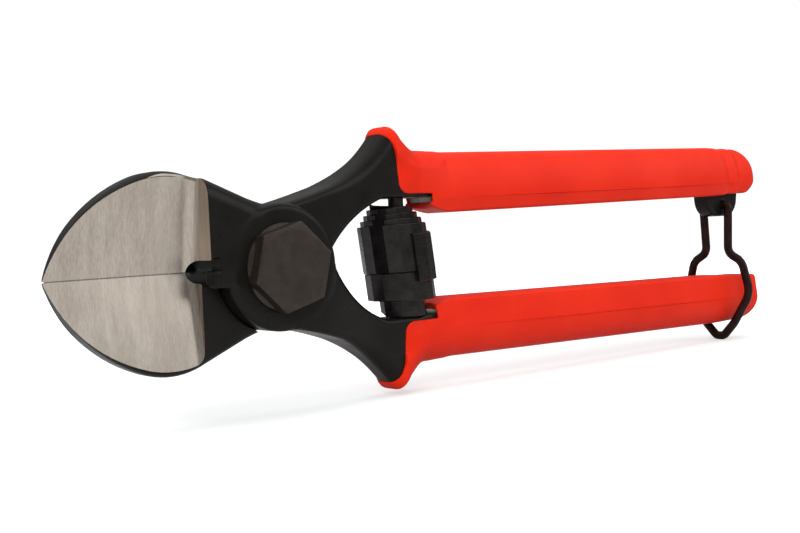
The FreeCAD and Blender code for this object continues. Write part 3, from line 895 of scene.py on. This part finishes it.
# ----------------------------------------------------------------------- latch
def rounded(corners, radii, step=0.25):
    """Points along straight runs joined by tangent arcs, in YZ."""
    path = [corners[0]]
    for before, corner, after, radius in zip(corners, corners[1:], corners[2:], radii):
        into, away = (corner - before).normalized(), (after - corner).normalized()
        turn = into.angle(away)
        back = radius * math.tan(turn / 2)
        start, inward = corner - into * back, (away - into).normalized()
        centre = corner + inward * (radius / math.cos(turn / 2))
        spoke = start - centre
        count = max(3, round(radius * turn / step))
        for i in range(count + 1):
            spin = Matrix.Rotation(turn * i / count, 3, into.cross(away))
            path.append(centre + spin @ spoke)
    path.append(corners[-1])
    return path


def latch():
    """Spring wire: two pins in the lug's eye, a narrow neck, a wide belly round
    the other grip and a tight bend below it."""
    leg = LUG_HALF + WIRE + 0.45
    side = [(0.5, LATCH.z), (leg, LATCH.z), (3.4, -4.8), (7.6, -7.2), (9.8, -15.6),
            (4.5, -23.7), (1.2, -LATCH_DROP)]
    corners = [Vector((LATCH.x, y, z)) for y, z in side]
    corners += [Vector((LATCH.x, -y, z)) for y, z in reversed(side)]
    path = rounded(corners, LATCH_BENDS + LATCH_BENDS[::-1])
    sides = 16
    turns = [2 * math.pi * k / sides for k in range(sides)]
    out = Vector((1, 0, 0))
    rings = []
    for i, here in enumerate(path):
        along = (path[min(i + 1, len(path) - 1)] - path[max(i - 1, 0)]).normalized()
        across = along.cross(out)
        rings.append([here + WIRE * (out * math.cos(a) + across * math.sin(a)) for a in turns])
    piece = make("latch_loop", *sweep(rings), [WIRE_BROWN])
    soften(piece, 50)
    settle(piece, "latch_wire", "latch")


# ---------------------------------------------------------------------- object
forged_half("front_half_forging", "front_forging", "front_half", False)
forged_half("rear_half_forging", "rear_forging", "rear_half", True)
grip("lower_grip_coat", "lower_grip", "front_half", False, *LOWER_GRIP_END)
grip("upper_grip_coat", "upper_grip", "rear_half", True, *UPPER_GRIP_END, RING_GROOVES)
HEAD_GAP = 0.22
round_pivot_piece("flanged_bolt", "pivot_bolt", bolt, 9.3, HEAD_GAP,
                  steps_of((-11.4, -6.9, HEAD_GAP), (-6.9, 12.0, 1.0), (12.0, 14.5, 0.3)))
round_pivot_piece("split_washer", "lock_washer", lock_washer, 9.3, 0.3,
                  steps_of((7.0, 9.6, 0.25)))
round_pivot_piece("back_nut", "pivot_nut", nut, 9.0, 0.3, steps_of((8.6, 13.6, 0.25)))
peg("lower_peg", "lower_spring_peg", "front_half", False)
peg("upper_peg", "upper_spring_peg", "rear_half", True)
volute_spring()
latch()


# ----------------------------------------------------------------------- stage
def area_light(name, at, size, power, mirrored=True):
    """Softbox turned to the object; mirrored says whether glossy surfaces show it."""
    light = bpy.data.lights.new(name, "AREA")
    light.shape = "RECTANGLE"
    light.size, light.size_y = size
    light.energy = power
    lamp = bpy.data.objects.new(name, light)
    lamp.location = at
    lamp.rotation_euler = (Vector(LIT_POINT) - Vector(at)).to_track_quat("-Z", "Y").to_euler()
    lamp.visible_glossy = mirrored
    bpy.context.scene.collection.objects.link(lamp)


def map_range(node, low, high, to_low, to_high):
    for socket, value in (("From Min", low), ("From Max", high), ("To Min", to_low),
                          ("To Max", to_high)):
        node.inputs[socket].default_value = value


def floor():
    """Round white table top.  It looks white from the camera, and throws less
    light back on the object than that: to the camera it also has a painted glow,
    weaker near the middle under the object and stronger towards the rim."""
    count = 96
    turns = [2 * math.pi * i / count for i in range(count)]
    points = [(FLOOR_RADIUS * math.cos(a), FLOOR_RADIUS * math.sin(a), 0) for a in turns]
    mesh = bpy.data.meshes.new("floor")
    mesh.from_pydata(points, [], [list(range(count))])
    plane = bpy.data.objects.new("floor", mesh)
    bpy.context.scene.collection.objects.link(plane)
    m = Nodes("floor_paper", Roughness=0.9)
    m.shader.inputs["Base Color"].default_value = (0.55, 0.55, 0.55, 1)
    m.shader.inputs["Specular IOR Level"].default_value = 0.1
    away = m.add("VectorMath")
    away.operation = "LENGTH"
    m.set(away, 0, m.add("TexCoord").outputs["Object"])
    # Painted glow: its strength is 0.46 near the middle and rises to 1.1 towards the rim.
    painted_glow_strength = m.add("MapRange", Value=away.outputs["Value"])
    map_range(painted_glow_strength, 0.10, 0.42, 0.46, 1.1)
    white = m.add("BsdfDiffuse", Color=(0.58, 0.60, 0.60, 1))
    glow = m.add("Emission", Strength=painted_glow_strength.outputs["Result"])
    both = m.add("AddShader")
    m.set(both, 0, white.outputs[0])
    m.set(both, 1, glow.outputs[0])
    pick = m.add("MixShader", Fac=m.add("LightPath").outputs["Is Camera Ray"])
    m.set(pick, 1, m.shader.outputs[0])
    m.set(pick, 2, both.outputs[0])
    m.tree.links.new(pick.outputs[0], m.tree.nodes["Material Output"].inputs["Surface"])
    mesh.materials.append(m.material)


def surroundings():
    """White backdrop behind the object; the room that lights it is dim low down
    and brighter overhead."""
    world = bpy.data.worlds.new("studio")
    bpy.context.scene.world = world
    world.use_nodes = True
    tree = world.node_tree
    tree.nodes.clear()
    where = tree.nodes.new("ShaderNodeTexCoord")
    height = tree.nodes.new("ShaderNodeSeparateXYZ")
    tree.links.new(where.outputs["Generated"], height.inputs[0])
    band = tree.nodes.new("ShaderNodeMapRange")
    map_range(band, 0.0, 0.8, 0.12, 0.45)
    tree.links.new(height.outputs["Z"], band.inputs["Value"])
    lit = tree.nodes.new("ShaderNodeBackground")
    tree.links.new(band.outputs["Result"], lit.inputs["Strength"])
    seen = tree.nodes.new("ShaderNodeBackground")
    seen.inputs["Strength"].default_value = 1.1
    for background in (lit, seen):
        background.inputs["Color"].default_value = (1, 1, 1, 1)
    ray = tree.nodes.new("ShaderNodeLightPath")
    mix = tree.nodes.new("ShaderNodeMixShader")
    out = tree.nodes.new("ShaderNodeOutputWorld")
    tree.links.new(ray.outputs["Is Camera Ray"], mix.inputs["Fac"])
    tree.links.new(lit.outputs[0], mix.inputs[1])
    tree.links.new(seen.outputs[0], mix.inputs[2])
    tree.links.new(mix.outputs[0], out.inputs["Surface"])


def camera():
    """Level view from the bolt's side, turned towards the handles."""
    look = Vector((math.sin(YAW) * math.cos(PITCH), math.cos(YAW) * math.cos(PITCH),
                   math.sin(PITCH)))
    right = Vector((math.cos(YAW), -math.sin(YAW), 0))
    up = right.cross(look)
    tilted_right = right * math.cos(ROLL) + up * math.sin(ROLL)
    tilted_up = up * math.cos(ROLL) - right * math.sin(ROLL)
    lens = bpy.data.cameras.new("camera")
    lens.lens, lens.sensor_width = 50.0, 36.0
    lens.clip_start = 0.01
    eye = bpy.data.objects.new("camera", lens)
    turn = Matrix((tilted_right, tilted_up, -look)).transposed().to_4x4()
    eye.matrix_world = Matrix.Translation(CAMERA_AT) @ turn
    bpy.context.scene.collection.objects.link(eye)
    bpy.context.scene.camera = eye


floor()
surroundings()
camera()
area_light("top_softbox", (0.0, 0.1, 0.9), (1.2, 0.9), 1.8)
area_light("fill_softbox", (0.0, 0.0, 0.9), (1.2, 0.9), 5.5, mirrored=False)
area_light("key_softbox", (-0.75, -0.75, 0.55), (0.8, 0.7), 11, mirrored=False)
area_light("right_softbox", (0.62, -0.72, 0.50), (0.9, 0.6), 2.6)
bpy.context.scene.view_settings.view_transform = "Standard"
